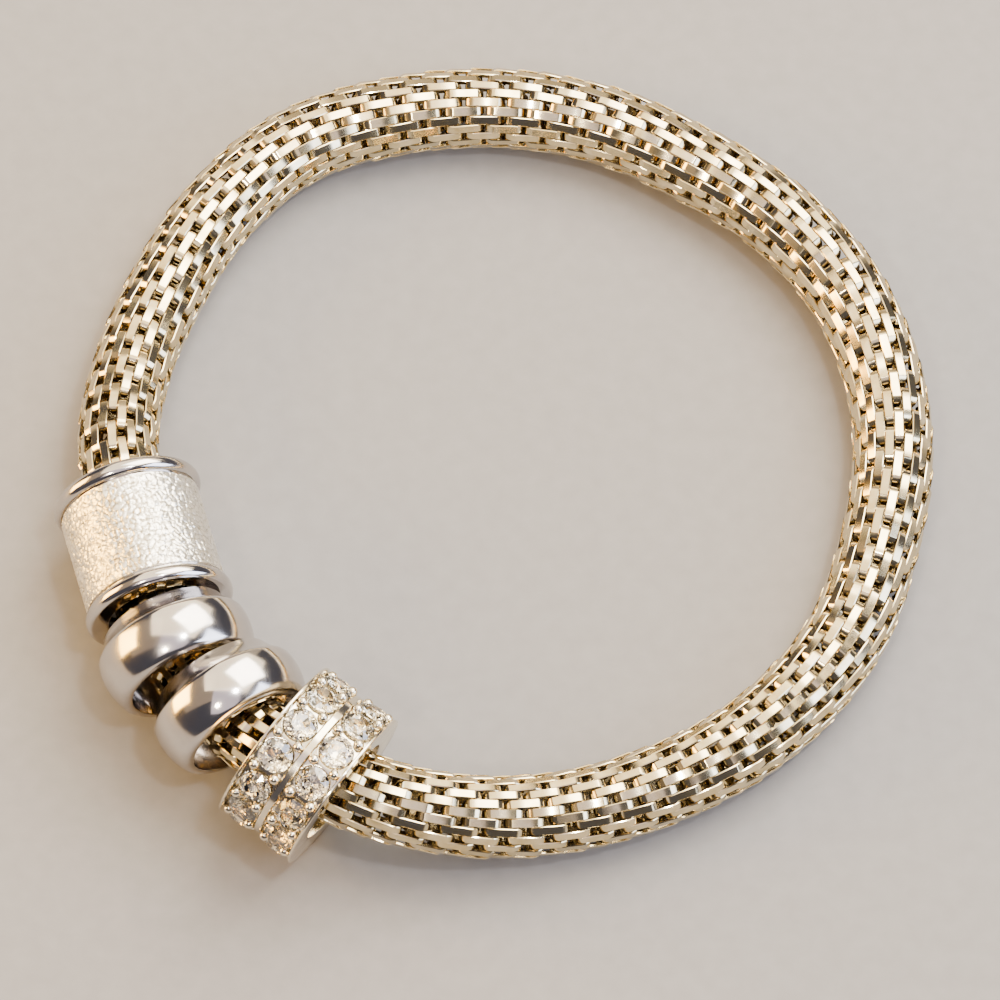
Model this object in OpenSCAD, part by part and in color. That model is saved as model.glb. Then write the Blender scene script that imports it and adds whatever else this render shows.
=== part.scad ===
// Mesh bracelet: a woven metal tube closed into a loop, with four slider beads
// threaded on it. It lies on the surface z = 0, and the origin is the middle of
// the wrist opening, on that surface. Sizes are in millimetres.

/* [Mesh tube] */
// Outer diameter of the woven tube
mesh_d = 6.4; // [6:0.1:6.6]
// Thickness of the weave, from its outside to its hollow
mesh_wall = 0.9; // [0.5:0.05:1.4]

/* [Hidden clasp] */
// Outer diameter of the sleeve that holds both ends of the tube
clasp_d = 8.4; // [8:0.1:8.6]
// Length of the sleeve
clasp_len = 6.8; // [5:0.1:7.4]
// Thickness of the web between the two tube ends
clasp_web = 1; // [0.6:0.1:2]

/* [Barrel bead] */
// Length over both polished rims
barrel_len = 10.8; // [9.6:0.1:11.2]
// Diameter over the polished rims
barrel_rim_d = 11.6; // [11.4:0.1:12.4]
// Width of a polished rim
barrel_rim_w = 1.2; // [0.8:0.1:1.6]
// Diameter of the frosted sleeve between the rims
barrel_sleeve_d = 11; // [10.4:0.1:11]
// Diameter of the room for the clasp inside
barrel_bore_d = 9.2; // [9:0.1:9.6]
// Diameter of the opening at each end
barrel_opening_d = 8.2; // [8.2:0.1:8.8]

/* [Ring beads] */
// Largest diameter of a ring bead
ring_d = 12.1; // [11.8:0.1:12.4]
// Width along the tube
ring_w = 5.4; // [4.8:0.1:5.4]
// Diameter of the bore
ring_bore_d = 9.2; // [9:0.1:9.4]
// Radius of the dome, seen in section
ring_dome_r = 4.8; // [4.4:0.1:6]
// Radius of the rounded shoulder at one side
ring_shoulder_r = 0.9; // [0.6:0.05:1]
// Width of the sloping flank at the other side
ring_flank_w = 1.6; // [1:0.1:1.8]

/* [Stone ring] */
// Width over both plain rims
stone_ring_w = 6.7; // [6.6:0.1:7.2]
// Diameter of the two plain rims
stone_ring_rim_d = 13.4; // [13.2:0.1:13.6]
// Diameter of the bore
stone_ring_bore_d = 8.8; // [8.6:0.1:9.2]
// Width of one band of stones
band_w = 2.7; // [2.7:0.05:2.8]
// Distance between the middles of the two bands
band_pitch = 3.4; // [3.3:0.05:3.5]
// Stones in one band
stones_per_band = 13; // [11:1:13]
// Diameter of a stone
stone_d = 2.6; // [2:0.05:2.6]
// Diameter of the small ball that holds a stone
prong_d = 0.84; // [0.6:0.02:0.9]

/* [Hidden] */
// The middle line of the tube, a row for every 15 degrees round the opening: its
// distance from the origin, and how far the beads lift the tube off the surface
RADIUS = 0;
LIFT = 1;
LOOP = [
    [30.0, 0], // 0 degrees, at the right
    [30.2, 0],
    [30.3, 0],
    [30.0, 0],
    [29.8, 0],
    [30.4, 0],
    [30.9, 0], // 90
    [31.4, 0],
    [32.0, 0],
    [31.3, 0],
    [30.3, 0],
    [30.0, 0.2],
    [29.9, 1.5], // 180
    [29.4, 2.3],
    [30.4, 2.4],
    [31.2, 2.8],
    [32.0, 3.8],
    [32.0, 2.6],
    [31.1, 0.6], // 270
    [30.6, 0],
    [30.5, 0],
    [30.5, 0],
    [30.3, 0],
    [29.8, 0],
];
// Where each bead sits: the angle round the opening and the distance from the
// origin of its middle, the heading of its axis, and how far the axis leans up
AT = 0;
OUT = 1;
HEADING = 2;
LEAN = 3;
BARREL_SEAT = [199.4, 29.4, -74, 0];
RING_A_SEAT = [216.2, 31.0, -67.5, 0];
RING_B_SEAT = [227.5, 31.0, -59, -2];
STONE_RING_SEAT = [242.4, 32.0, -36.5, -10];

// The swept tube
mesh_stations = 84;
mesh_sides = 20;
// Room left between each end of the tube and the clasp's web
end_gap = 0.35;
// How far round the loop each end stops short of the middle of the web
end_angle = asin((clasp_web / 2 + end_gap) / BARREL_SEAT[OUT]);
mesh_from = BARREL_SEAT[AT] + end_angle;
mesh_sweep = 360 - 2 * end_angle;

// The barrel's rounded rims and the groove beside each
barrel_rim_h = 0.45;
barrel_groove = 0.25;
barrel_wall_r = barrel_sleeve_d / 2 - barrel_groove;
barrel_rim_x = (barrel_len - barrel_rim_w) / 2;
barrel_sleeve_x = barrel_rim_x - barrel_rim_w / 2 - barrel_groove;
barrel_end_wall = 0.5;

// The ring bead's section, as radius and place along the axis: the dome's centre is
// on the axis' side, and the shoulder's small arc runs on from the dome's end
dome_middle = ring_d / 2 - ring_dome_r;
shoulder_x = ring_w / 2 - ring_shoulder_r;
shoulder_turn = asin(shoulder_x / (ring_dome_r - ring_shoulder_r));
shoulder_middle = dome_middle + (ring_dome_r - ring_shoulder_r) * cos(shoulder_turn);
ridge_turn = asin((ring_flank_w - ring_w / 2) / ring_dome_r);
lip_w = 0.25;
arc_steps = 16;

// The stone ring's floor, divider, seats and balls
band_floor_r = stone_ring_rim_d / 2 - 0.6;
divider_r = band_floor_r + 0.3;
stone_girdle_r = band_floor_r + 0.15;
stone_crown_h = 0.16 * stone_d;
stone_pavilion_h = 0.38 * stone_d;
stone_seat_gap = 0.05;
prong_x = band_w / 2 - 0.4;
prong_r = band_floor_r + 0.25;
// The axis is as high as the lower of the rim's edge and a ball needs, at its lean
stone_ring_drop = sin(-STONE_RING_SEAT[LEAN]);
stone_ring_rise = cos(STONE_RING_SEAT[LEAN]);
stone_ring_rest = max(
    stone_ring_rim_d / 2 * stone_ring_rise + stone_ring_w / 2 * stone_ring_drop,
    prong_r * stone_ring_rise + (band_pitch / 2 + prong_x) * stone_ring_drop + prong_d / 2
);
stone_turn = 360 / stones_per_band;
STONE_COUNT = 2 * stones_per_band;
STONES = [for (k = [0 : STONE_COUNT - 1]) str("stone_", k < 9 ? "0" : "", k + 1)];

// A smooth value between the second and third of four evenly spaced ones
function between(a, b, c, d, part) =
    b + part / 2 * (c - a + part * (2 * a - 5 * b + 4 * c - d + part * (3 * (b - c) + d - a)));
function loop_value(angle, column) =
    let (
        rows = len(LOOP),
        place = angle / 360 * rows,
        row = floor(place)
    )
    between(
        LOOP[(row + rows - 1) % rows][column],
        LOOP[row % rows][column],
        LOOP[(row + 1) % rows][column],
        LOOP[(row + 2) % rows][column],
        place - row
    );
function loop_point(angle) = [
    loop_value(angle, RADIUS) * cos(angle),
    loop_value(angle, RADIUS) * sin(angle),
    mesh_d / 2 + max(0, loop_value(angle, LIFT))
];
function unit(v) = v / norm(v);
function loop_direction(angle) = unit(loop_point(angle + 0.5) - loop_point(angle - 0.5));

// One ring of tube points at an angle of the loop, upright across the tube
function tube_ring(angle, radius) =
    let (
        ahead = loop_direction(angle),
        outward = unit(cross(ahead, [0, 0, 1])),
        up = cross(outward, ahead)
    )
    [
        for (side = [0 : mesh_sides - 1])
            loop_point(angle)
                + radius * cos(side * 360 / mesh_sides) * outward
                + radius * sin(side * 360 / mesh_sides) * up
    ];

module mesh_tube() {
    outer = mesh_d / 2;
    inner = outer - mesh_wall;
    // Outer and inner points lie turn and turn about, two rings a station
    points = [
        for (station = [0 : mesh_stations - 1])
            for (radius = [outer, inner])
                each tube_ring(mesh_from + mesh_sweep * station / (mesh_stations - 1), radius)
    ];
    function index(station, layer, side) =
        (2 * station + layer) * mesh_sides + side % mesh_sides;
    // Two triangles over four corners
    function patch(a, b, c, d) = [[a, c, b], [a, d, c]];
    last = mesh_stations - 1;
    skins = [
        for (station = [0 : last - 1])
            for (side = [0 : mesh_sides - 1])
                each concat(
                    patch(
                        index(station, 0, side), index(station + 1, 0, side),
                        index(station + 1, 0, side + 1), index(station, 0, side + 1)
                    ),
                    patch(
                        index(station, 1, side), index(station, 1, side + 1),
                        index(station + 1, 1, side + 1), index(station + 1, 1, side)
                    )
                )
    ];
    ends = [
        for (side = [0 : mesh_sides - 1])
            each concat(
                patch(
                    index(0, 0, side), index(0, 0, side + 1),
                    index(0, 1, side + 1), index(0, 1, side)
                ),
                patch(
                    index(last, 0, side), index(last, 1, side),
                    index(last, 1, side + 1), index(last, 0, side + 1)
                )
            )
    ];
    color("silver") polyhedron(points = points, faces = concat(skins, ends));
}

// Puts a piece made round the z axis on its seat, with its z axis on the heading
module on_loop(seat, axis_height) {
    translate([seat[OUT] * cos(seat[AT]), seat[OUT] * sin(seat[AT]), axis_height])
        rotate([0, -seat[LEAN], seat[HEADING]])
            rotate([0, 90, 0])
                children();
}

module clasp() {
    pocket_len = (clasp_len - clasp_web) / 2;
    // The pockets are wide enough for the tube's slight bend
    pocket_d = mesh_d + 0.9;
    color("gray")
        on_loop(BARREL_SEAT, loop_point(BARREL_SEAT[AT]).z)
            difference() {
                cylinder(d = clasp_d, h = clasp_len, center = true, $fn = 64);
                for (side = [-1, 1])
                    translate([0, 0, side * (clasp_web + pocket_len + 1) / 2])
                        cylinder(d = pocket_d, h = pocket_len + 1, center = true, $fn = 64);
            }
}

// Points of a round or flattened arc about [middle, along], from one turn to another
function arc(middle, along, radius, from, to, steps, flat = 1) = [
    for (k = [0 : steps])
        let (turn = from + (to - from) * k / steps)
        [middle + flat * radius * cos(turn), along + radius * sin(turn)]
];

// A hollow wall with a rounded rim and a narrower opening at each end, and a raised
// sleeve between two grooves
module barrel_section() {
    bore_r = barrel_bore_d / 2;
    opening_r = barrel_opening_d / 2;
    bore_x = barrel_len / 2 - barrel_end_wall;
    sleeve_r = barrel_sleeve_d / 2;
    half_rim = barrel_rim_w / 2;
    rim_r = barrel_rim_d / 2 - barrel_rim_h;
    flat = barrel_rim_h / half_rim;
    polygon(concat(
        [[opening_r, -barrel_len / 2]],
        arc(rim_r, -barrel_rim_x, half_rim, -90, 90, 12, flat),
        [
            [barrel_wall_r, half_rim - barrel_rim_x], [barrel_wall_r, -barrel_sleeve_x],
            [sleeve_r, -barrel_sleeve_x], [sleeve_r, barrel_sleeve_x],
            [barrel_wall_r, barrel_sleeve_x], [barrel_wall_r, barrel_rim_x - half_rim]
        ],
        arc(rim_r, barrel_rim_x, half_rim, -90, 90, 12, flat),
        [
            [opening_r, barrel_len / 2], [opening_r, bore_x], [bore_r, bore_x],
            [bore_r, -bore_x], [opening_r, -bore_x]
        ]
    ));
}

module barrel_bead() {
    color("gainsboro")
        on_loop(BARREL_SEAT, barrel_rim_d / 2)
            rotate_extrude($fn = 96)
                barrel_section();
}

// A dome between a straight flank at one side and a round shoulder at the other
module ring_section() {
    bore_r = ring_bore_d / 2;
    polygon(concat(
        [[bore_r, -ring_w / 2], [bore_r + lip_w, -ring_w / 2]],
        arc(dome_middle, 0, ring_dome_r, ridge_turn, shoulder_turn, arc_steps),
        arc(shoulder_middle, shoulder_x, ring_shoulder_r, shoulder_turn + 10, 90, 5),
        [[bore_r, ring_w / 2]]
    ));
}

module ring_bead(seat) {
    // The dome's round outside rests on the surface at any lean
    rest_height = ring_dome_r + dome_middle * cos(seat[LEAN]);
    color("lightgray")
        on_loop(seat, rest_height)
            rotate_extrude($fn = 96)
                ring_section();
}
module ring_bead_a() { ring_bead(RING_A_SEAT); }
module ring_bead_b() { ring_bead(RING_B_SEAT); }

// Moves a piece made on the z axis to the outside of the stone ring
module in_band(side, turn, radius) {
    translate([0, 0, side * band_pitch / 2])
        rotate([0, 0, turn])
            translate([radius, 0, 0])
                rotate([0, 90, 0])
                    children();
}

module stone_ring() {
    bore_r = stone_ring_bore_d / 2;
    rim_r = stone_ring_rim_d / 2;
    divider_w = band_pitch - band_w;
    rim_w = (stone_ring_w - divider_w) / 2 - band_w;
    seat_depth = stone_pavilion_h + stone_seat_gap;
    color("gainsboro")
        on_loop(STONE_RING_SEAT, stone_ring_rest) {
            difference() {
                rotate_extrude($fn = 96) {
                    translate([bore_r, -stone_ring_w / 2])
                        square([band_floor_r - bore_r, stone_ring_w]);
                    for (x = [-stone_ring_w / 2, stone_ring_w / 2 - rim_w])
                        translate([bore_r, x]) square([rim_r - bore_r, rim_w]);
                    translate([bore_r, -divider_w / 2]) square([divider_r - bore_r, divider_w]);
                }
                for (side = [-1, 1], k = [0 : stones_per_band - 1])
                    in_band(side, (k + 0.5) * stone_turn, stone_girdle_r - seat_depth)
                        cylinder(r = stone_d / 2 + stone_seat_gap, h = 3, $fn = 32);
            }
            for (side = [-1, 1], edge = [-1, 1], k = [0 : stones_per_band - 1])
                in_band(side, k * stone_turn, prong_r)
                    translate([edge * prong_x, 0, 0])
                        sphere(d = prong_d, $fn = 24);
        }
}

// A round cut stone with its girdle at z = 0: eight table corners, sixteen girdle
// corners and a point below
module cut_stone() {
    girdle = stone_d / 2;
    table = 0.56 * girdle;
    girdle_h = 0.03 * stone_d;
    function corners(count, radius, height, turn) = [
        for (k = [0 : count - 1])
            [radius * cos(k * 360 / count + turn), radius * sin(k * 360 / count + turn), height]
    ];
    points = concat(
        corners(8, table, stone_crown_h, 0),
        corners(8, 0.82 * girdle, 0.5 * stone_crown_h, 22.5),
        corners(16, girdle, girdle_h / 2, 0),
        corners(16, girdle, -girdle_h / 2, 0),
        [[0, 0, -stone_pavilion_h]]
    );
    star = 8;
    upper = 16;
    lower = 32;
    tip = 48;
    faces = concat(
        [[for (k = [7 : -1 : 0]) k]],
        [for (k = [0 : 7]) [k, (k + 1) % 8, star + k]],
        [for (k = [0 : 7]) each [
            [k, star + k, upper + 2 * k],
            [k, upper + 2 * k, star + (k + 7) % 8],
            [star + k, upper + 2 * k + 1, upper + 2 * k],
            [star + k, upper + (2 * k + 2) % 16, upper + 2 * k + 1]
        ]],
        [for (k = [0 : 15]) each [
            [upper + k, upper + (k + 1) % 16, lower + (k + 1) % 16],
            [upper + k, lower + (k + 1) % 16, lower + k],
            [lower + k, lower + (k + 1) % 16, tip]
        ]]
    );
    polyhedron(points = points, faces = faces);
}

// The first half of the stones fill the band beside the ring beads
module stone(number) {
    side = number < stones_per_band ? -1 : 1;
    color("white")
        on_loop(STONE_RING_SEAT, stone_ring_rest)
            in_band(side, (number % stones_per_band + 0.5) * stone_turn, stone_girdle_r)
                cut_stone();
}

mesh_tube();
clasp();
barrel_bead();
ring_bead_a();
ring_bead_b();
stone_ring();
for (k = [0 : STONE_COUNT - 1])
    stone(k);
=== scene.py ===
# %% [markdown]
# # A woven mesh bracelet with four beads
#
# The bracelet is a soft tube, about as thick as a pencil, made of some fourteen
# hundred small steel links. Its two ends meet inside a barrel bead. Two polished
# ring beads and a ring set with clear stones sit beside it.
#
# The imported CAD model gives every size and place. It is loaded first.

# %% Load the imported model
import math

import bpy
import numpy as np
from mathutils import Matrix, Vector


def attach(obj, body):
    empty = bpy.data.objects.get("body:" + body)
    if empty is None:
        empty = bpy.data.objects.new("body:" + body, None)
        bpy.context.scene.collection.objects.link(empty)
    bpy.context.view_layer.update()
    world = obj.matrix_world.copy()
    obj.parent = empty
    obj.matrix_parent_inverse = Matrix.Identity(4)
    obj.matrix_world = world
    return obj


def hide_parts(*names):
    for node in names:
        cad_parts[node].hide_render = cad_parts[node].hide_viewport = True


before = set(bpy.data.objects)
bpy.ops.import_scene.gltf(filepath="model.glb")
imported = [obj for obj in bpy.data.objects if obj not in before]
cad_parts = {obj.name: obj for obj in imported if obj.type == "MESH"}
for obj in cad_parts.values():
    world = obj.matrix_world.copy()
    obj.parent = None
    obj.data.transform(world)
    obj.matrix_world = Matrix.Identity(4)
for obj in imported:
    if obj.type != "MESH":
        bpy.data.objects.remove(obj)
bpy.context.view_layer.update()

MM = 0.001
print("CAD nodes:", len(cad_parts))

# %% [markdown]
# ## Surfaces from arrays
#
# Every new piece here is a surface worked out with numpy. A mesh could also be made
# corner by corner, but an array holds all the corners at once, which is quicker to
# run and shorter to read. One function puts the arrays into a Blender mesh, and one
# works out the faces of a grid.


# %% Put a surface into a mesh
def make_piece(name, points, face_sets, crease_deg=40):
    """Makes a mesh object at the origin from corners in millimetres.

    points has a row x y z for each corner. Each array in face_sets has a row of
    corner numbers for each face. The volume is the sum over all triangles of
    a . (b x c) / 6. Where it is negative the shape is inside out, and every face is
    turned round. An edge that bends by more than crease_deg is shaded sharp.
    """
    points = points.reshape(-1, 3) * MM
    triangles = np.concatenate(
        [f[:, [0, k, k + 1]] for f in face_sets for k in range(1, f.shape[1] - 1)]
    )
    a, b, c = (points[triangles[:, k]] for k in range(3))
    if np.einsum("ij,ij->", a, np.cross(b, c)) < 0:
        face_sets = [f[:, ::-1] for f in face_sets]
    corners = np.concatenate([f.ravel() for f in face_sets]).astype(np.int32)
    sizes = np.concatenate([np.full(len(f), f.shape[1]) for f in face_sets])

    mesh = bpy.data.meshes.new(name)
    mesh.vertices.add(len(points))
    mesh.vertices.foreach_set("co", points.ravel().astype(np.float32))
    mesh.loops.add(len(corners))
    mesh.loops.foreach_set("vertex_index", corners)
    mesh.polygons.add(len(sizes))
    mesh.polygons.foreach_set("loop_start", (np.cumsum(sizes) - sizes).astype(np.int32))
    mesh.update(calc_edges=True)
    mesh.validate()
    mesh.set_sharp_from_angle(angle=math.radians(crease_deg))

    piece = bpy.data.objects.new(name, mesh)
    bpy.context.scene.collection.objects.link(piece)
    print(f"{name}: {len(triangles)} triangles")
    return piece


def grid_faces(rows, columns, close_rows=False, close_columns=False):
    """The four-cornered faces of a grid of points. A point's number is
    row x columns + column. A closed grid's last row or column joins its first."""
    row, column = np.meshgrid(
        np.arange(rows if close_rows else rows - 1),
        np.arange(columns if close_columns else columns - 1),
        indexing="ij",
    )
    next_row, next_column = (row + 1) % rows, (column + 1) % columns
    corners = [
        row * columns + column,
        row * columns + next_column,
        next_row * columns + next_column,
        next_row * columns + column,
    ]
    return np.stack([c.ravel() for c in corners], -1)


# %% [markdown]
# ## The loop that the tube follows
#
# The tube's middle line is a rounded loop with a flatter side. It is held as a short
# table, a row for every 15 degrees, and a smooth cubic joins the rows. These are the
# CAD source's own numbers, so the links lie exactly where the solid tube lies. The
# beads are thicker than the tube and lift it off the table beside them.

# %% The middle line
MESH_RADIUS = 3.2
LOOP_RADIUS = np.array([
    30.0, 30.2, 30.3, 30.0, 29.8, 30.4, 30.9, 31.4, 32.0, 31.3, 30.3, 30.0,
    29.9, 29.4, 30.4, 31.2, 32.0, 32.0, 31.1, 30.6, 30.5, 30.5, 30.3, 29.8,
])
LOOP_LIFT = np.array([
    0, 0, 0, 0, 0, 0, 0, 0, 0, 0, 0, 0.2,
    1.5, 2.3, 2.4, 2.8, 3.8, 2.6, 0.6, 0, 0, 0, 0, 0,
])


def loop_value(turn_deg, table):
    """A smooth value at a turn: the cubic that passes through each row of the table
    with a slope of half the difference between the rows before and after it."""
    place = turn_deg / 360 * len(table)
    row = np.floor(place).astype(int)
    part = place - row
    a, b, c, d = (table[(row + k) % len(table)] for k in (-1, 0, 1, 2))
    curve = 2 * a - 5 * b + 4 * c - d + part * (3 * (b - c) + d - a)
    return b + part / 2 * (c - a + part * curve)


def loop_point(turn_deg):
    """The middle line's point: the radius turned round the origin, and the lift above
    the height at which the tube touches the table."""
    radius = loop_value(turn_deg, LOOP_RADIUS)
    height = MESH_RADIUS + np.maximum(0, loop_value(turn_deg, LOOP_LIFT))
    turn = np.radians(turn_deg)
    return np.stack([radius * np.cos(turn), radius * np.sin(turn), height], -1)


print("the loop's height in mm, a value for every 90 degrees:",
      [round(loop_point(turn)[2], 2) for turn in (0, 90, 180, 270)])

# %% [markdown]
# ## Directions along the loop
#
# The mesh bends with the loop, so each link has to know which way is ahead, outward
# and up where it lies. A curve object in Blender could carry these directions too. The
# cross product gives them in three lines, for all the links at once.


# %% Which way is ahead, outward and up
def unit(v):
    """A vector divided by its own length."""
    return v / np.linalg.norm(v, axis=-1, keepdims=True)


def loop_axes(turn_deg):
    """The directions ahead, outward and up at a turn. Ahead runs from the point half a
    degree back to the point half a degree on. Outward is level, and up is square to
    both."""
    ahead = unit(loop_point(turn_deg + 0.5) - loop_point(turn_deg - 0.5))
    outward = unit(np.cross(ahead, [0, 0, 1]))
    return ahead, outward, np.cross(outward, ahead)


print("ahead, outward and up at 0 degrees:", [v.round(2).tolist() for v in loop_axes(0.0)])

# %% [markdown]
# ## The tube's length
#
# The tube is cut, and its ends stand at either side of a thin web in the middle of the
# barrel bead. The links are spaced by length along the curve and not by turn, so the
# curve is measured in short straight steps, and a running sum gives the length at each.

# %% Measure along the loop
BARREL_TURN, BARREL_OUT = 199.4, 29.4
WEB_WIDTH, END_ROOM = 1, 0.35
FINE_POINTS = 4000

end_turn = np.degrees(np.arcsin((WEB_WIDTH / 2 + END_ROOM) / BARREL_OUT))
fine_turns = np.linspace(BARREL_TURN + end_turn, BARREL_TURN + 360 - end_turn, FINE_POINTS)
fine_steps = np.linalg.norm(np.diff(loop_point(fine_turns), axis=0), axis=1)
fine_lengths = np.concatenate([[0], np.cumsum(fine_steps)])
tube_length = fine_lengths[-1]
print(f"tube length {tube_length:.1f} mm")

# %% [markdown]
# ## One link
#
# On the real bracelet each link is a strip of plated steel, bent over at both ends
# like a staple, whose legs hook round the links beside it. A full staple with round
# edges would need hundreds of faces. This one is a strip of eleven stations with a
# section of six corners, because the shape is repeated some fourteen hundred times.
# Its flat top carries the broad tone, and its sloping ends are the knuckles that
# catch the light.

# %% The link's shape
LINK_WIDTH, LINK_THICKNESS, LINK_BEVEL = 0.71, 0.2, 0.06
# How wide the strip's underside is, as a share
UNDERSIDE = 0.9
# The strip's outside, as place and height: a leg, a sloping end, the flat top, a rounder
# sloping end and a leg
LINK_PATH = np.array([
    [-1.57, -0.82], [-1.56, -0.54], [-1.49, -0.30], [-1.10, -0.04], [-0.99, 0],
    [0.86, 0], [0.99, -0.03], [1.38, -0.19], [1.51, -0.35], [1.57, -0.59], [1.57, -0.82],
])
# How wide the strip is at each station, as a share: the ends are narrowed
LINK_TAPER = np.array([0.66, 0.76, 0.88, 1, 1, 1, 1, 0.92, 0.84, 0.74, 0.68])


def strip_shape():
    """The strip: a section of six corners carried along the path.

    A section's corner has a place across and a depth below the outside. Its point is
    the path's point + depth x inward, at its place across x the taper there, and
    inward is square to the path. The long top edges are bevelled, and shading then
    rounds them.
    """
    direction = unit(np.gradient(LINK_PATH, axis=0))
    inward = np.stack([direction[:, 1], -direction[:, 0]], -1)
    half = LINK_WIDTH / 2
    one_edge = [
        [half - LINK_BEVEL, 0], [half, LINK_BEVEL], [UNDERSIDE * half, LINK_THICKNESS],
    ]
    other_edge = [[-side, depth] for side, depth in one_edge[::-1]]
    section = np.array(other_edge + one_edge)
    place = LINK_PATH[:, None, :] + section[None, :, 1, None] * inward[:, None, :]
    across = section[None, :, 0] * LINK_TAPER[:, None]
    points = np.stack([place[..., 0], across, place[..., 1]], -1).reshape(-1, 3)
    # Two more faces close each end
    last = 6 * (len(LINK_PATH) - 1)
    ends = np.array([
        [0, 1, 4, 5], [1, 2, 3, 4],
        [last + 5, last + 4, last + 1, last], [last + 4, last + 3, last + 2, last + 1],
    ])
    return points, np.concatenate([grid_faces(len(LINK_PATH), 6, close_columns=True), ends])


link_points, link_faces = strip_shape()
print(f"one link: {len(link_points)} corners, {len(link_faces)} faces")

# %% [markdown]
# ## The weave
#
# The links stand in columns along the tube, and each column is half a link further on
# than its neighbours, like bricks. One end of each link stands a little proud of the
# next one, which gives the real tube its stepped edge. A hand-woven tube is never
# quite even. An even pattern would look printed, so each link is turned and shifted by
# a small seeded amount, which is the same on every run.

# %% Count the links and draw their small faults
COLUMNS, LINK_PITCH = 26, 3.42
# The last links stop this far from the tube's end
END_GAP = 1.4
# A link's slope along the tube, and how much the slopes along and across it vary
LINK_TILT = math.tan(math.radians(3.7))
TILT_FAULT, ROLL_FAULT = 0.025, 0.06
# How far a link may slip along the tube, sink into it and rise out of it, in mm
SLIP_FAULT, SINK_FAULT, RISE_FAULT = 0.05, 0.03, 0.02

row_count = round(tube_length / LINK_PITCH)
pitch = tube_length / row_count
row, column = np.meshgrid(np.arange(row_count), np.arange(COLUMNS), indexing="ij")
row, column = row.ravel(), column.ravel()
along = (row + 0.5 + 0.5 * (column % 2)) * pitch
inside = along < tube_length - END_GAP
column, along = column[inside], along[inside]

rng = np.random.default_rng(7)
along += rng.uniform(-SLIP_FAULT, SLIP_FAULT, len(along))
tilt = LINK_TILT + rng.uniform(-TILT_FAULT, TILT_FAULT, len(along))
roll = rng.uniform(-ROLL_FAULT, ROLL_FAULT, len(along))
rise = rng.uniform(-SINK_FAULT, RISE_FAULT, len(along))
print(f"{row_count} rows of {COLUMNS} links, {len(along)} in all, pitch {pitch:.2f} mm")

# %% [markdown]
# ## The woven tube
#
# A geometry-nodes graph could set a copy of the link at each place. Fourteen hundred
# copies of a link of 66 corners are a small array, though, and the whole weave is then
# one mesh and one piece. Each corner also keeps how deep it lies below its link's
# top, so that the finish can darken the gaps, where light hardly reaches.

# %% Weave the links
# The flat tops lie inside the tube's outer radius, so that the raised ends reach it
TOP_RADIUS = MESH_RADIUS - 0.08


def place_links(points):
    """Every link's corners. A corner's height gains tilt x its place along the link and
    roll x its place across it, and the link then stands on the tube's own axes."""
    turn = np.interp(along, fine_lengths, fine_turns)
    ahead, outward, up = loop_axes(turn)
    around = (2 * np.pi * column / COLUMNS)[:, None]
    radial = np.cos(around) * outward + np.sin(around) * up
    sideways = np.cross(radial, ahead)
    middle = loop_point(turn) + TOP_RADIUS * radial
    x, y = points[None, :, 0], points[None, :, 1]
    height = points[None, :, 2] + tilt[:, None] * x + roll[:, None] * y + rise[:, None]
    return (
        middle[:, None]
        + x[..., None] * ahead[:, None]
        + y[..., None] * sideways[:, None]
        + height[..., None] * radial[:, None]
    )


def store_depth(piece, values):
    """Keeps how deep each corner lies, one number a corner, for the piece's finish."""
    depth = piece.data.attributes.new("depth", "FLOAT", "POINT")
    depth.data.foreach_set("value", values.ravel().astype(np.float32))


woven = place_links(link_points)
first_corner = np.arange(len(along))[:, None, None] * len(link_points)
mesh_weave = make_piece("mesh_weave", woven, [(link_faces + first_corner).reshape(-1, 4)])
# How deep each corner lies below its link's flat top, in mm
store_depth(mesh_weave, np.tile(-link_points[:, 2], len(along)))

# %% [markdown]
# ## Beads turned on a lathe
#
# The beads are round, as if turned on a lathe. A profile of radius and place along the
# axis is carried round, which is what Blender's Screw modifier does too. In an array
# the radius can also change round the bead, and the frosted sleeve needs that.


# %% Turn a profile, and seat a bead
def turned(profile, steps):
    """A closed profile carried round the z axis: a point is (radius cos turn,
    radius sin turn, place)."""
    turn = (np.arange(steps) * 2 * np.pi / steps)[:, None]
    radius, place = profile[None, :, 0], profile[None, :, 1]
    return np.stack([radius * np.cos(turn), radius * np.sin(turn), place + 0 * turn], -1)


def arc(middle, place, radius, from_deg, to_deg, steps, flat=1):
    """Rows of an arc, as radius and place along the axis: (middle + flat x radius cos
    turn, place + radius sin turn). A flat below 1 flattens it."""
    turn = np.radians(np.linspace(from_deg, to_deg, steps + 1))
    return np.stack(
        [middle + flat * radius * np.cos(turn), place + radius * np.sin(turn)], -1
    )


def on_seat(points, at, out, heading, lean, height):
    """Moves a bead from the z axis to its seat on the loop.

    at and out are the seat's turn and distance from the origin. The bead's axis lies
    along its heading and leans up by lean, and its x axis points down. A point is
    x down + y across + z axis + the seat's middle.
    """
    a, h, s = np.radians([at, heading, lean])
    axis = [np.cos(s) * np.cos(h), np.cos(s) * np.sin(h), np.sin(s)]
    down = [np.sin(s) * np.cos(h), np.sin(s) * np.sin(h), -np.cos(s)]
    across = [-np.sin(h), np.cos(h), 0]
    middle = [out * np.cos(a), out * np.sin(a), height]
    return points @ np.array([down, across, axis]) + middle


def turned_piece(name, profile, steps, seat, crease_deg=40):
    """A turned profile on its seat, as a closed grid of steps x profile rows."""
    points = on_seat(turned(profile, steps), *seat)
    faces = grid_faces(steps, len(profile), close_rows=True, close_columns=True)
    return make_piece(name, points, [faces], crease_deg)


print("a quarter of an arc in three rows:", arc(0, 0, 1, 0, 90, 2).round(3).tolist())

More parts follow.
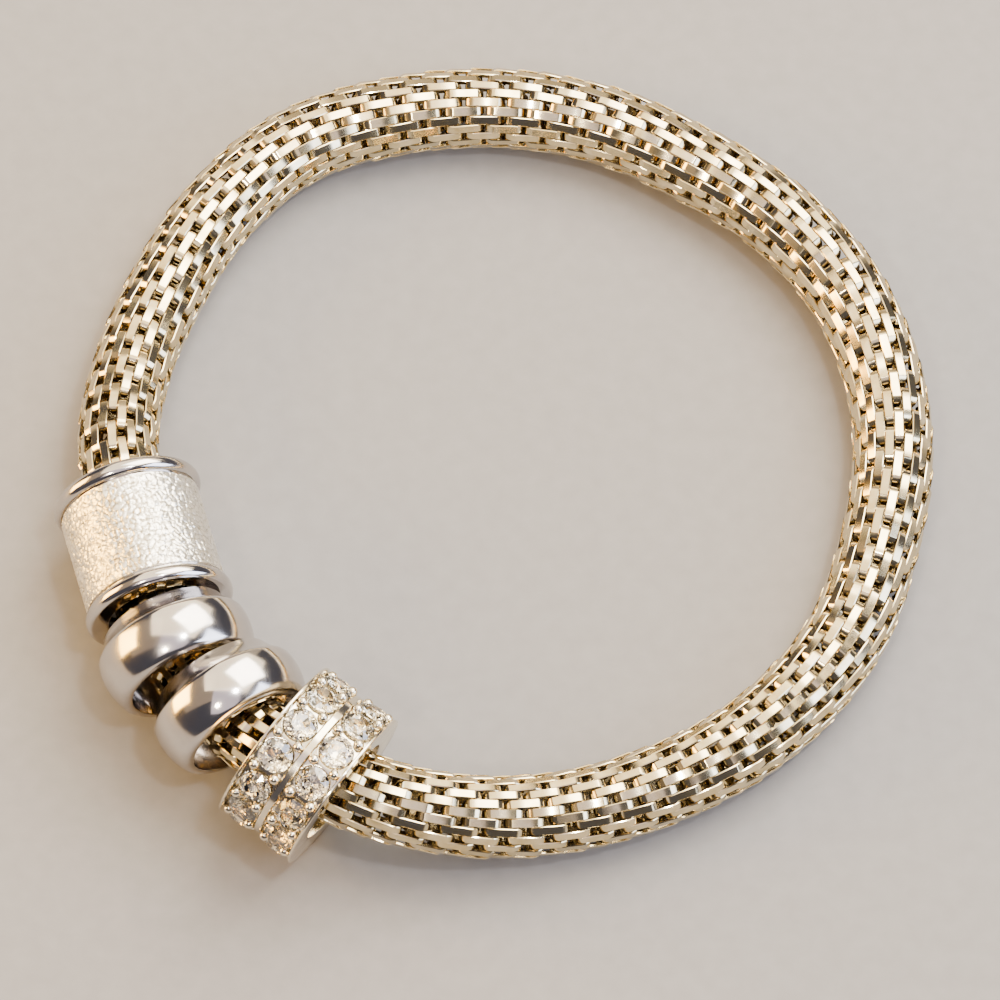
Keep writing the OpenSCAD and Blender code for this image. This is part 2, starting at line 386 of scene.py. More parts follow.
# %% [markdown]
# ## The barrel bead
#
# The barrel is a straight sleeve with a frosted, sparkling skin between two polished
# rounded rims, and a thin dark groove parts them. A flat end face runs in from each rim
# to the opening. The rims and inner wall are one turned piece, and the frosted skin is
# another, because they have other finishes.

# %% The barrel's rims and wall
BARREL_HALF, BARREL_RIM_R, BARREL_SLEEVE_R = 5.4, 5.8, 5.5
BARREL_BORE_R, OPENING_R, END_WALL = 4.6, 4.1, 0.5
RIM_HALF, RIM_HEIGHT, GROOVE = 0.6, 0.45, 0.25
# The opening's edge is rounded, and a row just outside it keeps the end face flat
OPENING_ROUND, FACE_ROW = 0.15, 0.25
# Its turn, distance out, heading and lean. It rests on its rims, which sets its height
BARREL_SEAT = (BARREL_TURN, BARREL_OUT, -74, 0, BARREL_RIM_R)
BARREL_STEPS = 144

rim_place = BARREL_HALF - RIM_HALF
groove_r = BARREL_SLEEVE_R - GROOVE
half_profile = np.concatenate([
    [[groove_r, rim_place - RIM_HALF]],
    arc(
        BARREL_RIM_R - RIM_HEIGHT, rim_place, RIM_HALF, -90, 90,
        steps=18, flat=RIM_HEIGHT / RIM_HALF,
    ),
    [[OPENING_R + FACE_ROW, BARREL_HALF]],
    arc(
        OPENING_R + OPENING_ROUND, BARREL_HALF - OPENING_ROUND, OPENING_ROUND, 90, 180,
        steps=6,
    ),
    [[OPENING_R, BARREL_HALF - END_WALL], [BARREL_BORE_R, BARREL_HALF - END_WALL]],
])
barrel_profile = np.concatenate([half_profile[::-1] * [1, -1], half_profile])
barrel_rims = turned_piece("barrel_rims", barrel_profile, BARREL_STEPS, BARREL_SEAT)

# %% [markdown]
# ## The frosted skin
#
# Stardust finish is cut with a vibrating diamond point, which leaves thousands of tiny
# flat dents. Each dent catches the light on its own. Here the skin is a fine grid on
# the sleeve, parted into irregular grains about half a millimetre across, and each
# grain is a small flat facet with its own slope. A bump map alone would look the same
# from the front, but the real grains also roughen the edge.

# %% The height of a grain
GRAIN = 0.48
GRAIN_SLOPE, GRAIN_GROOVE = 0.06, 0.06
# How far a grain's point strays from its cell's middle, and a groove's width, in grains
STRAY, GROOVE_WIDTH = 0.42, 0.22
# Rows of cells that are drawn, and the row at the middle of the barrel
DRAWN_ROWS, MIDDLE_ROW = 64, 30
grains_round = round(2 * np.pi * BARREL_SLEEVE_R / GRAIN)


def grain_height(u, v):
    """The height of an irregular grain at u round and v along, counted in grains.

    Each cell of a square grid holds one point at a seeded place. A corner belongs to
    the nearest of the nine points about it. Its height is that grain's slope times
    the distance from the point, less a groove where the second nearest is as near.
    The share of the groove, from 0 to 1, is given back too. Nothing is 9 cells away,
    so that is where the search starts.
    """
    draw = np.random.default_rng(11).uniform(-1, 1, (grains_round, DRAWN_ROWS, 4))
    cell_u, cell_v = np.floor(u).astype(int), np.floor(v).astype(int)
    nearest = np.full(u.shape, 9.0)
    second = np.full(u.shape, 9.0)
    height = np.zeros(u.shape)
    for du in (-1, 0, 1):
        for dv in (-1, 0, 1):
            picked = draw[(cell_u + du) % grains_round, (cell_v + dv) % DRAWN_ROWS]
            off_u = u - (cell_u + du + 0.5 + STRAY * picked[..., 0])
            off_v = v - (cell_v + dv + 0.5 + STRAY * picked[..., 1])
            distance = np.hypot(off_u, off_v)
            nearer = distance < nearest
            second = np.where(nearer, nearest, np.minimum(second, distance))
            facet = GRAIN_SLOPE * (picked[..., 2] * off_u + picked[..., 3] * off_v)
            height = np.where(nearer, facet, height)
            nearest = np.where(nearer, distance, nearest)
    share = np.clip(1 - (second - nearest) / GROOVE_WIDTH, 0, 1)
    return height - GRAIN_GROOVE * share, share


print(f"{grains_round} grains round")

# %% [markdown]
# ## The skin's grid
#
# The dents are cut into the sleeve after it is turned. A displace modifier could do the same
# to a turned sleeve. Here the radius of each corner is worked out before the mesh is made, so
# the share of the groove is at hand too, and the finish can paint shade into it.

# %% The frosted skin
SKIN_TURNS, SKIN_ROWS = 420, 104
SKIN_HALF = rim_place - RIM_HALF - GROOVE
# The grains' middles lie inside the sleeve's radius, so that their high sides reach it
SKIN_DROP = 0.06

turn_number, row_number = np.meshgrid(
    np.arange(SKIN_TURNS), np.arange(SKIN_ROWS), indexing="ij"
)
skin_along = (row_number / (SKIN_ROWS - 1) * 2 - 1) * SKIN_HALF
relief, groove_share = grain_height(
    turn_number * grains_round / SKIN_TURNS, skin_along / GRAIN + MIDDLE_ROW
)
skin_radius = BARREL_SLEEVE_R - SKIN_DROP + relief
skin_turn = turn_number * 2 * np.pi / SKIN_TURNS
skin = np.stack(
    [skin_radius * np.cos(skin_turn), skin_radius * np.sin(skin_turn), skin_along], -1
)
# Two more corners at each turn close the skin behind, a little inside the wall
SKIN_BACK_R = groove_r - 0.1
back_profile = np.array([[SKIN_BACK_R, SKIN_HALF], [SKIN_BACK_R, -SKIN_HALF]])
skin = np.concatenate([skin, turned(back_profile, SKIN_TURNS)], axis=1)
barrel_skin = make_piece(
    "barrel_frosted_skin",
    on_seat(skin, *BARREL_SEAT),
    [grid_faces(SKIN_TURNS, skin.shape[1], close_rows=True, close_columns=True)],
    crease_deg=60,
)
# How far each corner is down in a groove, as a share
store_depth(barrel_skin, np.pad(groove_share, ((0, 0), (0, 2))))
print(f"relief {relief.min():.3f} to {relief.max():.3f} mm")

# %% [markdown]
# ## The two ring beads
#
# Each ring bead has a wide dome that ends in a soft ridge on the side of the barrel,
# with a sloping flank below it. The other side has a small round shoulder. A mirror
# polish shows every flat place in a mesh, so the dome has many more rows than the
# CAD solid.

# %% A ring bead's profile
RING_R, RING_HALF, RING_BORE_R = 6.05, 2.7, 4.6
DOME_R, SHOULDER_R, FLANK_WIDTH, LIP_WIDTH = 4.8, 0.9, 1.6, 0.25
BORE_ROUND = 0.1
# The flank is hollowed a little, and the ridge is softened: the flank stops at this
# share of its way, and the dome starts this many degrees past the ridge
FLANK_HOLLOW, FLANK_SHARE, DOME_START = 0.1, 0.93, 1.5

dome_middle = RING_R - DOME_R
shoulder_place = RING_HALF - SHOULDER_R
shoulder_turn = math.degrees(math.asin(shoulder_place / (DOME_R - SHOULDER_R)))
shoulder_middle = dome_middle + (DOME_R - SHOULDER_R) * math.cos(math.radians(shoulder_turn))
ridge_turn = math.degrees(math.asin((FLANK_WIDTH - RING_HALF) / DOME_R))

dome = arc(dome_middle, 0, DOME_R, ridge_turn + DOME_START, shoulder_turn, steps=44)
shoulder = arc(
    shoulder_middle, shoulder_place, SHOULDER_R, shoulder_turn, 90, steps=16
)[1:]
ridge = arc(dome_middle, 0, DOME_R, ridge_turn, ridge_turn, steps=0)[0]
lip = np.array([RING_BORE_R + LIP_WIDTH, -RING_HALF])
rise_r, run = ridge - lip
share = np.linspace(0, FLANK_SHARE, 14)[:, None]
hollow = FLANK_HOLLOW * np.sin(np.pi * share) * unit(np.array([-run, rise_r]))
flank = lip + share * (ridge - lip) + hollow
ring_profile = np.concatenate([
    arc(RING_BORE_R + BORE_ROUND, -RING_HALF + BORE_ROUND, BORE_ROUND, 180, 270, steps=4),
    flank, dome, shoulder,
    arc(RING_BORE_R + BORE_ROUND, RING_HALF - BORE_ROUND, BORE_ROUND, 90, 180, steps=4),
])
print("rows in a ring bead's profile:", len(ring_profile))

# %% [markdown]
# ## Two alike
#
# The two rings come from one pattern, so one profile serves both. Each hangs loose on
# the tube and tips its own way, until its dome rests on the table. The height could be
# found by trying, but it follows from the dome's radius and the lean.


# %% The ring beads
RING_STEPS = 192


def ring_bead(name, seat):
    """A ring bead on its seat. Its dome's round outside rests on the table, which sets
    how high the axis is: the dome's radius + the dome's middle x cos lean."""
    height = DOME_R + dome_middle * math.cos(math.radians(seat[-1]))
    return turned_piece(name, ring_profile, RING_STEPS, (*seat, height), crease_deg=60)


# Each ring's turn, distance out, heading and lean
ring_a = ring_bead("ring_a_polished", (216.2, 31.0, -67.5, 0))
ring_b = ring_bead("ring_b_polished", (227.5, 31.0, -59, -2))

# %% [markdown]
# ## The stone ring
#
# The ring has two bands of thirteen stones between plain rims. A jeweller drills a
# cone for each stone, and raises a small ball of metal over each stone's edge. A cut
# by a boolean would leave ragged shading, so the outside is a grid whose radius
# drops in a cone at each stone, like a landscape wrapped round a cylinder.

# %% Heights on the stone ring
STONE_RING_HALF, STONE_RIM_R, STONE_BORE_R = 3.35, 6.7, 4.4
BAND_HALF, BAND_PLACE, STONES_PER_BAND = 1.35, 1.7, 13
FLOOR_R, DIVIDER_R, RIM_ROUND = 6.1, 6.4, 0.12
STONE_R, GIRDLE_R = 1.3, 6.25
# A cone's depth for each millimetre inwards, and its room round the stone
CONE_SLOPE, SEAT_ROOM = 0.8, 0.04
stone_step = 2 * np.pi / STONES_PER_BAND


def rim_radius(place):
    """The radius across the ring: a floor in the bands, and two rims and a lower
    divider that rise from it with rounded edges. It is the floor + (top - floor) x
    the square root of how far it is off the band / the rounding's width, up to 1."""
    off_band = np.abs(np.abs(place) - BAND_PLACE) - BAND_HALF
    top = np.where(np.abs(place) < BAND_PLACE, DIVIDER_R, STONE_RIM_R)
    return FLOOR_R + (top - FLOOR_R) * np.sqrt(np.clip(off_band / RIM_ROUND, 0, 1))


def seat_depth(turn, place):
    """How far a stone's cone drops the surface: slope x (the stone's radius + room -
    the distance from its middle). It is nothing past the edge and off the bands."""
    off_middle = np.abs(np.abs(place) - BAND_PLACE)
    from_stone = (turn / stone_step) % 1 - 0.5
    distance = np.hypot(from_stone * stone_step * GIRDLE_R, off_middle)
    cone = CONE_SLOPE * np.clip(STONE_R + SEAT_ROOM - distance, 0, None)
    return np.where(off_middle < BAND_HALF, cone, 0)


# The ring leans, and its lower rim's edge rests on the table, which sets how high the
# axis is: the rim's radius x cos lean + half the width x sin lean
STONE_RING_LEAN = -10
lean = math.radians(-STONE_RING_LEAN)
stone_ring_height = STONE_RIM_R * math.cos(lean) + STONE_RING_HALF * math.sin(lean)
STONE_RING_SEAT = (242.4, 32.0, -36.5, STONE_RING_LEAN, stone_ring_height)
print(f"the stone ring's axis is {stone_ring_height:.2f} mm high")

# %% [markdown]
# ## The stone ring's body
#
# The real ring is cast in one piece, with its bore and side faces. A grid shows a
# sharp edge only where it has rows close together, so close rows stand at each edge of
# a band. Thirty-two columns for each stone draw its cone round enough. More rows
# everywhere would look the same and weigh more.

# %% The stone ring's body
BODY_TURNS = 32 * STONES_PER_BAND
SIDE_ROUND = 0.08
EVEN_ROWS, EDGE_ROWS, EDGE_REACH = 72, 8, 0.14

# Even rows across the ring, and close ones within a short reach of each band's edges
edges = np.add.outer([-BAND_PLACE, BAND_PLACE], [-BAND_HALF, BAND_HALF])
across = np.unique(np.round(np.concatenate([
    np.linspace(-STONE_RING_HALF + SIDE_ROUND, STONE_RING_HALF - SIDE_ROUND, EVEN_ROWS),
    np.add.outer(edges.ravel(), np.linspace(-EDGE_REACH, EDGE_REACH, EDGE_ROWS)).ravel(),
]), 4))
body_turn, body_place = np.meshgrid(
    np.arange(BODY_TURNS) * 2 * np.pi / BODY_TURNS, across, indexing="ij"
)
body_radius = rim_radius(body_place) - seat_depth(body_turn, body_place)
body = np.stack(
    [body_radius * np.cos(body_turn), body_radius * np.sin(body_turn), body_place], -1
)
# The two side faces, with softened edges, and the bore
one_side = np.concatenate([
    arc(
        STONE_RIM_R - SIDE_ROUND, STONE_RING_HALF - SIDE_ROUND, SIDE_ROUND, 0, 90, steps=4
    )[1:],
    arc(
        STONE_BORE_R + BORE_ROUND, STONE_RING_HALF - BORE_ROUND, BORE_ROUND, 90, 180, steps=4
    ),
])
side_profile = np.concatenate([one_side, one_side[::-1] * [1, -1]])
body = np.concatenate([body, turned(side_profile, BODY_TURNS)], axis=1)
stone_ring_body = make_piece(
    "stone_ring_body",
    on_seat(body, *STONE_RING_SEAT),
    [grid_faces(BODY_TURNS, body.shape[1], close_rows=True, close_columns=True)],
)

# %% [markdown]
# ## The balls that hold the stones
#
# Four small balls of metal stand round each stone, and neighbours share them. One ball
# is made and copied to its places round the ring, all in one array. Blender's own
# sphere would need a loop that joins 52 of them. At less than a millimetre across,
# sixteen sides look round.


# %% A ball and its copies
def ball(radius, rings, sides):
    """A ball as a grid of latitude and longitude, with a point at each pole: (cos
    latitude cos longitude, cos latitude sin longitude, sin latitude) x radius."""
    latitude = np.linspace(-np.pi / 2, np.pi / 2, rings + 2)[1:-1, None]
    longitude = (np.arange(sides) * 2 * np.pi / sides)[None]
    grid = np.stack([
        np.cos(latitude) * np.cos(longitude),
        np.cos(latitude) * np.sin(longitude),
        np.sin(latitude) + 0 * longitude,
    ], -1)
    points = np.concatenate([grid.reshape(-1, 3), [[0, 0, -1], [0, 0, 1]]]) * radius
    south, north = rings * sides, rings * sides + 1
    first = np.arange(sides)
    following, last_ring = (first + 1) % sides, (rings - 1) * sides
    caps = np.concatenate([
        np.stack([first, np.full(sides, south), following], -1),
        np.stack([last_ring + first, last_ring + following, np.full(sides, north)], -1),
    ])
    return points, grid_faces(rings, sides, close_columns=True), caps


def copies_round(points, turns, places, radius):
    """A copy of the shape at each turn and place. Its z axis becomes the way out from
    the ring's axis, and its x axis lies along that axis: a point is (out cos turn -
    y sin turn, out sin turn + y cos turn, x + place), where out is z + radius."""
    cos, sin = np.cos(turns)[:, None], np.sin(turns)[:, None]
    out = points[None, :, 2] + radius
    return np.stack([
        out * cos - points[None, :, 1] * sin,
        out * sin + points[None, :, 1] * cos,
        points[None, :, 0] + places[:, None],
    ], -1)


# A ball's radius, how far it is from its band's middle, and how high its middle is
BALL_R, BALL_PLACE, BALL_MIDDLE = 0.42, BAND_HALF - 0.4, FLOOR_R + 0.25
ball_points, ball_quads, ball_caps = ball(BALL_R, rings=9, sides=16)
print("one ball:", len(ball_points), "corners")

# %% [markdown]
# ## The balls in their places
#
# A ball stands where two neighbours meet, at each edge of their band, and holds them
# both. Thirteen places, two edges and two bands make 52 balls. They could be a piece
# each, but on the real ring they are part of the metal, so they are one.

# %% Place the balls
# Every ball's band, edge of that band, and number round the ring
band, edge, number = (
    choice.ravel()
    for choice in np.meshgrid([-1, 1], [-1, 1], np.arange(STONES_PER_BAND), indexing="ij")
)
ball_places = band * BAND_PLACE + edge * BALL_PLACE
balls = copies_round(ball_points, number * stone_step, ball_places, BALL_MIDDLE)
first_corner = np.arange(len(number))[:, None, None] * len(ball_points)
stone_ring_balls = make_piece(
    "stone_ring_balls",
    on_seat(balls, *STONE_RING_SEAT),
    [(ball_quads + first_corner).reshape(-1, 4), (ball_caps + first_corner).reshape(-1, 3)],
    crease_deg=60,
)

# %% [markdown]
# ## Each new piece takes its place
#
# A new piece rides on the CAD body and stands for its CAD node, and its row lists the finish
# it belongs to. The clasp and the cut stones stay as CAD nodes, because flat facets are
# exactly what a cut stone needs.

# %% Ride and replace
PLACES = [
    (mesh_weave, ["mesh_tube"], "silver_mesh"),
    (barrel_rims, ["barrel_bead"], "polished_silver"),
    (barrel_skin, [], "frosted_silver"),
    (ring_a, ["ring_bead_a"], "polished_silver"),
    (ring_b, ["ring_bead_b"], "polished_silver"),
    (stone_ring_body, ["stone_ring"], "polished_silver"),
    (stone_ring_balls, [], "polished_silver"),
]
for piece, nodes, finish in PLACES:
    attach(piece, "root")
    if nodes:
        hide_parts(*nodes)
print("new pieces:", [piece.name for piece, _, _ in PLACES])

# %% [markdown]
# ## Tools for the finishes
#
# A finish is a small graph of nodes that ends in one shader. Colours are written as
# on a colour chart, in sRGB, and turned to the linear values that light adds up in.
# One function adds any kind of node, so that a graph reads from its first node to its
# last.


# %% Colour and node helpers
def linear(hex_colour):
    """sRGB to linear: below 0.04045 divide by 12.92, above it raise
    (value + 0.055) / 1.055 to the power 2.4."""
    value = np.array([int(hex_colour[k:k + 2], 16) / 255 for k in (1, 3, 5)])
    value = np.where(value <= 0.04045, value / 12.92, ((value + 0.055) / 1.055) ** 2.4)
    return (*value, 1.0)


def add_node(tree, kind, inputs=None, stops=(), **settings):
    """Adds a node, sets its settings, and sets or links each of its inputs. stops are
    a ramp's (place, colour) pairs, where a colour is a hex value or a grey."""
    node = tree.nodes.new(kind)
    for name, value in settings.items():
        setattr(node, name, value)
    for name, value in (inputs or {}).items():
        if isinstance(value, bpy.types.NodeSocket):
            tree.links.new(value, node.inputs[name])
        else:
            node.inputs[name].default_value = value
    for k, (place, colour) in enumerate(stops):
        element = node.color_ramp.elements[k]
        element.position = place
        element.color = linear(colour) if isinstance(colour, str) else (colour,) * 3 + (1,)
    return node


def new_finish(name):
    """An empty material with its node tree, its shader and its place in space. Object
    coordinates count in metres, so a pattern's scale is 1 / its size in metres."""
    material = bpy.data.materials.new(name)
    material.use_nodes = True
    tree = material.node_tree
    place = add_node(tree, "ShaderNodeTexCoord").outputs["Object"]
    return material, tree, tree.nodes["Principled BSDF"], place


print("white in linear values:", linear("#FFFFFF"))

# %% [markdown]
# ## Metals
#
# Plated steel and polished silver plate are both mirrors with a slight warm tint.
# What tells them apart is how sharp the mirror is. Handling leaves a faint haze and
# fine scratches, so roughness varies over a few millimetres and a very fine bump
# breaks up the reflections. A picture of real wear could be laid on instead, but noise
# needs no unwrapping and has no edge. Real scratches are a few hundredths of a
# millimetre apart. That is too fine to show, so the marks are drawn a fifth to two
# fifths of a millimetre apart.


# %% A metal's graph
def metal_finish(
    name, light, dark, smooth, hazy, haze_mm, marks_mm, marks_height, gap_shade=None
):
    """A metal whose colour and roughness drift between two values over haze_mm, with a bump
    of fine marks marks_mm apart. A colour of painted shade is multiplied in where the piece's
    depth attribute says that the surface lies low."""
    material, tree, shader, place = new_finish(name)
    haze = add_node(
        tree, "ShaderNodeTexNoise",
        {"Vector": place, "Scale": 1 / (haze_mm * MM), "Detail": 3.0, "Roughness": 0.6},
    ).outputs["Fac"]
    colour = add_node(
        tree, "ShaderNodeValToRGB", {"Fac": haze}, stops=[(0.35, light), (0.7, dark)]
    ).outputs["Color"]
    # Painted shade: the colour is darkened where the surface lies low in the gaps
    if gap_shade:
        depth = add_node(tree, "ShaderNodeAttribute", attribute_name="depth").outputs["Fac"]
        gap_shade_tone = add_node(
            tree, "ShaderNodeValToRGB", {"Fac": depth},
            stops=[(0.12, "#FFFFFF"), (0.45, gap_shade)],
        ).outputs["Color"]
        colour = add_node(
            tree, "ShaderNodeVectorMath", {0: colour, 1: gap_shade_tone}, operation="MULTIPLY"
        ).outputs[0]
    roughness = add_node(
        tree, "ShaderNodeValToRGB", {"Fac": haze}, stops=[(0.35, smooth), (0.7, hazy)]
    ).outputs["Color"]
    marks = add_node(
        tree, "ShaderNodeTexNoise",
        {"Vector": place, "Scale": 1 / (marks_mm * MM), "Detail": 4.0, "Roughness": 0.7},
    ).outputs["Fac"]
    bump = add_node(
        tree, "ShaderNodeBump",
        {"Height": marks, "Strength": 0.5, "Distance": marks_height * MM},
    ).outputs["Normal"]
    tree.links.new(colour, shader.inputs["Base Color"])
    tree.links.new(roughness, shader.inputs["Roughness"])
    tree.links.new(bump, shader.inputs["Normal"])
    shader.inputs["Metallic"].default_value = 1.0
    return material


print("a metal's graph is ready")

# %% [markdown]
# ## The four metals
#
# One graph serves all four, because they differ only in tint, haze and marks. Each colour is
# what the plating itself sends back, apart from the painted shade down in the links' gaps,
# and no lamp is painted in.

# %% Plated and polished metals
# Plated steel strip, pressed and tumbled: a champagne mirror with a soft edge, and painted
# shade of a darker golden brown down in the gaps, where light hardly reaches
plated_links = metal_finish(
    "plated_steel_links", "#EADAB3", "#D0BC8C", smooth=0.12, hazy=0.22,
    haze_mm=1.4, marks_mm=0.25, marks_height=0.0015, gap_shade="#6F6448",
)
# Silver plate buffed to a mirror: nearly sharp reflections, a few hazy places, and a
# grey tint, which keeps the metal a little darker than the table it mirrors
polished_plate = metal_finish(
    "polished_silver_plate", "#D0CAC4", "#C0BAB6", smooth=0.1, hazy=0.2,
    haze_mm=3.0, marks_mm=0.4, marks_height=0.002,
)
# Cast and tumbled silver plate of the stone setting: brighter and warmer, with a haze
# that changes over a shorter way
setting_plate = metal_finish(
    "stone_setting_plate", "#F4EAD3", "#E2D7BD", smooth=0.1, hazy=0.2,
    haze_mm=1.2, marks_mm=0.3, marks_height=0.002,
)
# Plain steel of the hidden clasp: grey and dull
clasp_steel = metal_finish(
    "plain_clasp_steel", "#A9A6A0", "#8F8C87", smooth=0.3, hazy=0.42,
    haze_mm=1.5, marks_mm=0.2, marks_height=0.01,
)
print("metals:", [m.name for m in bpy.data.materials])

# %% [markdown]
# ## Cells that lean
#
# A dent or a facet too small for the mesh still sends the light its own way. A bump
# map gives soft waves, and a dent here is flat. So each cell of a Voronoi pattern
# takes one random direction and leans the surface's normal by it.


# %% Leaning cells
def leaning_cells(tree, place, cell_mm, amount):
    """The surface's normal, with every cell of a pattern leaning its own way: the
    normal + amount x (the cell's random colour - a half), made one long again."""
    cells = add_node(
        tree, "ShaderNodeTexVoronoi",
        {"Vector": place, "Scale": 1 / (cell_mm * MM), "Randomness": 1.0},
    )
    lean = add_node(
        tree, "ShaderNodeVectorMath", {0: cells.outputs["Color"], 1: (0.5, 0.5, 0.5)},
        operation="SUBTRACT",
    ).outputs[0]
    small_lean = add_node(
        tree, "ShaderNodeVectorMath", {0: lean, "Scale": amount}, operation="SCALE"
    ).outputs[0]
    surface = add_node(tree, "ShaderNodeNewGeometry").outputs["Normal"]
    leaning = add_node(
        tree, "ShaderNodeVectorMath", {0: surface, 1: small_lean}, operation="ADD"
    ).outputs[0]
    return add_node(
        tree, "ShaderNodeVectorMath", {0: leaning}, operation="NORMALIZE"
    ).outputs[0]


print("leaning cells are ready")

# %% [markdown]
# ## The frosted skin's finish
#
# The grains themselves are in the mesh. The finish adds what is finer than the grid: a
# second, smaller grain of leaning cells, so that single cells flash while their neighbours
# stay grey. The finest real dents are about a tenth of a millimetre across, and they are
# drawn twice as wide so that they show. The grooves between the grains get painted shade, a
# darker colour, as they look darker on the real sleeve, and the tone drifts over a
# millimetre.

# %% Frosted silver plate
SPARKLE_MM, DRIFT_MM = 0.22, 1.1
frosted_plate, tree, shader, place = new_finish("frosted_silver_plate")
drift = add_node(
    tree, "ShaderNodeTexNoise",
    {"Vector": place, "Scale": 1 / (DRIFT_MM * MM), "Detail": 3.0, "Roughness": 0.6},
).outputs["Fac"]
top_colour = add_node(
    tree, "ShaderNodeValToRGB", {"Fac": drift}, stops=[(0.3, "#FFFBF2"), (0.75, "#F0EADC")]
).outputs["Color"]
depth = add_node(tree, "ShaderNodeAttribute", attribute_name="depth").outputs["Fac"]
# Painted shade: the grooves between the grains are darkened
painted_groove_shade = add_node(
    tree, "ShaderNodeValToRGB", {"Fac": depth}, stops=[(0.25, "#FFFFFF"), (0.95, "#B3AC98")]
).outputs["Color"]
colour = add_node(
    tree, "ShaderNodeVectorMath", {0: top_colour, 1: painted_groove_shade}, operation="MULTIPLY"
).outputs[0]
tree.links.new(colour, shader.inputs["Base Color"])
tree.links.new(leaning_cells(tree, place, SPARKLE_MM, 0.35), shader.inputs["Normal"])
shader.inputs["Metallic"].default_value = 1.0
shader.inputs["Roughness"].default_value = 0.36
print("sparkle cells", SPARKLE_MM, "mm across")

# %% [markdown]
# ## Clear stones
#
# The stones are clear and cut. A stone bends light by its IOR, here the value of cubic
# zirconia, and its facets send the light back out through the top, which glass does
# less well. A trace of warm tint and a fine variation keep it from looking like a hole.
# The solid stones have the main facets alone. A real one has more, each under a
# millimetre across, and leaning cells stand for them.

# %% Cut crystal
FACET_MM, TINT_MM = 0.6, 2.0
crystal, tree, shader, place = new_finish("cut_crystal")
tint = add_node(
    tree, "ShaderNodeTexNoise", {"Vector": place, "Scale": 1 / (TINT_MM * MM), "Detail": 1.0}
).outputs["Fac"]
colour = add_node(
    tree, "ShaderNodeValToRGB", {"Fac": tint}, stops=[(0.3, "#FFF4D9"), (0.7, "#FCE7B8")]
).outputs["Color"]
tree.links.new(colour, shader.inputs["Base Color"])
tree.links.new(leaning_cells(tree, place, FACET_MM, 0.35), shader.inputs["Normal"])
shader.inputs["Roughness"].default_value = 0.01
shader.inputs["IOR"].default_value = 2.15
shader.inputs["Transmission Weight"].default_value = 1.0
print("fine facets", FACET_MM, "mm across")

# %% [markdown]
# ## The finishes go on
#
# A piece takes a finish in its first material slot. The CAD nodes that stay, the clasp
# and the stones, get theirs in the same way.


# %% Give each piece its finish
def give_finish(piece, material):
    """Makes the material the piece's only one."""
    piece.data.materials.clear()
    piece.data.materials.append(material)


stones = [
    node for name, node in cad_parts.items()
    if name.startswith("stone_") and name != "stone_ring"
]
FINISHES = [
    (mesh_weave, plated_links),
    (barrel_rims, polished_plate),
    (barrel_skin, frosted_plate),
    (ring_a, polished_plate),
    (ring_b, polished_plate),
    (stone_ring_body, setting_plate),
    (stone_ring_balls, setting_plate),
    (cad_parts["clasp"], clasp_steel),
]
FINISHES += [(stone, crystal) for stone in stones]
for piece, material in FINISHES:
    give_finish(piece, material)
print("pieces with a finish:", len(FINISHES))

# %% [markdown]
# ## The table
#
# Polished metal shows what stands round it more than its own colour, and a pale table
# lights it from below. A plain flat surface is enough. It is far larger than the
# camera's view, so that no edge shows in any mirror, and it lies a fiftieth of a
# millimetre low, as the lowest links do. Real paper fibres are too fine to show, so
# the pattern is drawn a millimetre and a half wide, as a faint unevenness.

# %% The table
TABLE_HALF, TABLE_DROP, FIBRE_MM = 900, 0.02, 1.5
corners = np.array([[-1, -1, 0], [1, -1, 0], [1, 1, 0], [-1, 1, 0]]) * TABLE_HALF
table_top = bpy.data.meshes.new("table")
table_top.from_pydata(((corners - [0, 0, TABLE_DROP]) * MM).tolist(), [], [(0, 1, 2, 3)])
table = bpy.data.objects.new("table", table_top)
bpy.context.scene.collection.objects.link(table)

# Uncoated paper, pressed: no gloss at all
paper, tree, shader, place = new_finish("pale_matt_paper")
fibre = add_node(
    tree, "ShaderNodeTexNoise", {"Vector": place, "Scale": 1 / (FIBRE_MM * MM), "Detail": 4.0}
).outputs["Fac"]
colour = add_node(
    tree, "ShaderNodeValToRGB", {"Fac": fibre}, stops=[(0.3, "#827F7D"), (0.7, "#878482")]
).outputs["Color"]
tree.links.new(colour, shader.inputs["Base Color"])
shader.inputs["Roughness"].default_value = 0.9
table_top.materials.append(paper)
print("the table is", 2 * TABLE_HALF, "mm across")

# %% [markdown]
# ## The lamps
#
# A mirror shows each lamp as a patch of its own size and brightness. The large sky and
# key lamps behind the bracelet give the broad highlights on the links and beads. The
# warm lamp low on the left gives the golden tone there, and the cool one on the right
# gives the bluish edge. The fill lamp and the two walls are large and dim: they keep
# the flanks of the beads from turning black. Two small lamps above the front put a
# bright point on each polished bead and wake the stones. The room between the lamps is
# dim, which gives the dark parts of the reflections.


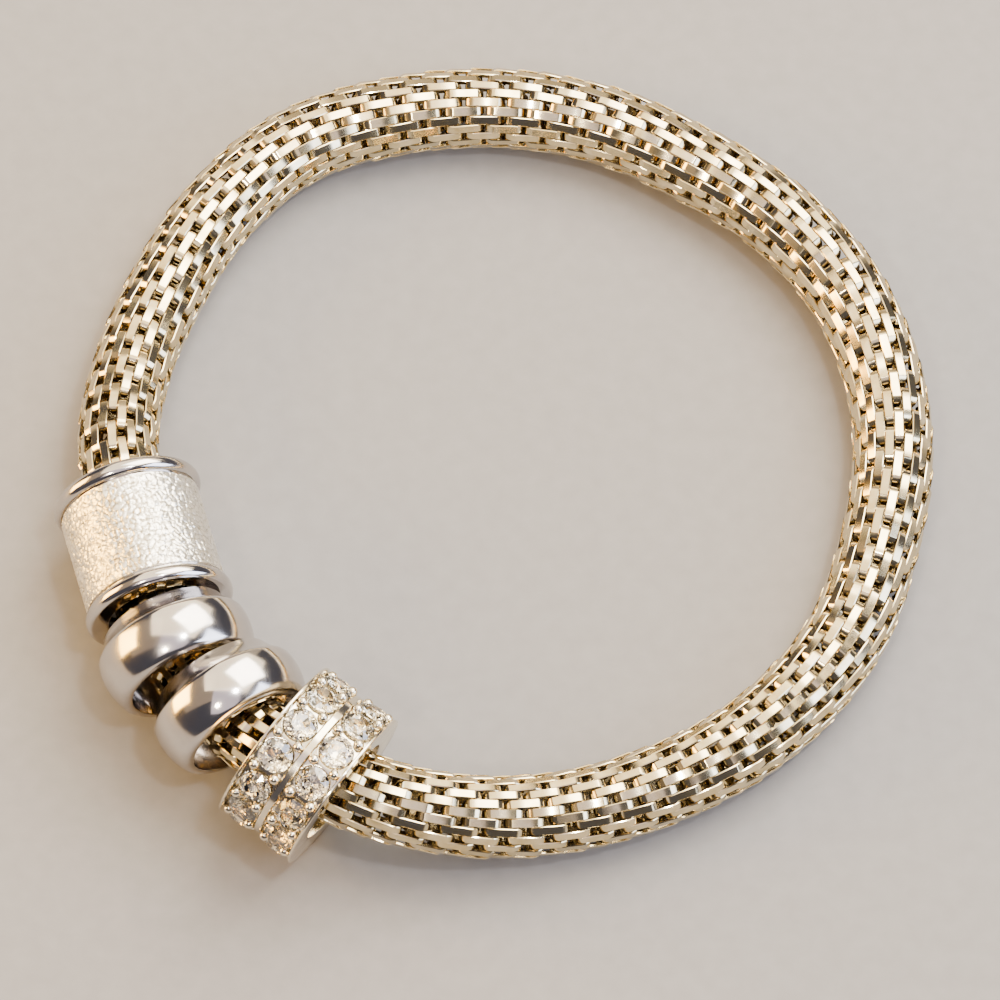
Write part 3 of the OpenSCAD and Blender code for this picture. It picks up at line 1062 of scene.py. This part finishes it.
# %% The lamps
def soft_lamp(name, at_mm, size_mm, power, colour):
    """A square area lamp that faces the middle of the bracelet. Its brightness is
    power / (pi x its area)."""
    data = bpy.data.lights.new(name, "AREA")
    data.size = size_mm * MM
    data.energy, data.color = power, linear(colour)[:3]
    lamp = bpy.data.objects.new(name, data)
    lamp.location = Vector(at_mm) * MM
    lamp.rotation_euler = (-lamp.location).to_track_quat("-Z", "Y").to_euler()
    bpy.context.scene.collection.objects.link(lamp)


# Each lamp's name, place in mm, size in mm, power in watts and colour
LAMPS = [
    ("sky_lamp", (40, 250, 490), 860, 7.6, "#FFEBC8"),
    ("key_lamp", (200, 200, 440), 400, 7.0, "#FFF8EC"),
    ("warm_lamp", (-470, 20, 150), 260, 5.2, "#FFC65E"),
    ("cool_lamp", (440, -130, 240), 340, 3.4, "#DCE6FF"),
    ("front_lamp", (130, -120, 560), 45, 1.2, "#FFFFFF"),
    ("spark_lamp", (-120, -320, 480), 45, 1.1, "#FFF1D8"),
    ("fill_lamp", (0, -300, 600), 500, 1.1, "#EBDDE6"),
    ("left_wall_lamp", (-400, 0, 400), 520, 0.4, "#FFDDB0"),
    ("back_wall_lamp", (0, 520, 160), 520, 0.6, "#FFE6BE"),
]
for lamp in LAMPS:
    soft_lamp(*lamp)

world = bpy.data.worlds.new("room")
world.use_nodes = True
room = world.node_tree.nodes["Background"]
room.inputs["Color"].default_value = linear("#AAA8B8")
room.inputs["Strength"].default_value = 0.25
bpy.context.scene.world = world
print("lamps:", len(LAMPS))

# %% [markdown]
# ## The camera
#
# The camera looks down on the bracelet from the front, 63 degrees above the table. A
# long lens from 600 mm away keeps the near and the far side of the loop the same size,
# and its sharpness is the same everywhere.

# %% The camera
ELEVATION, DISTANCE, LENS, SENSOR = 63, 600, 278.06, 36
# It aims at the middle of the bracelet's outline, seen from there
aim = Vector((-0.42, -2.29, 0)) * MM
elevation = math.radians(ELEVATION)
back = Vector((0, -math.cos(elevation), math.sin(elevation)))
camera_data = bpy.data.cameras.new("camera")
camera_data.lens, camera_data.sensor_width = LENS, SENSOR
camera_data.clip_start, camera_data.clip_end = 0.01, 10
camera = bpy.data.objects.new("camera", camera_data)
camera.location = aim + back * DISTANCE * MM
camera.rotation_euler = (-back).to_track_quat("-Z", "Y").to_euler()
bpy.context.scene.collection.objects.link(camera)
bpy.context.scene.camera = camera
print("camera at, in mm:", [round(v / MM) for v in camera.location])
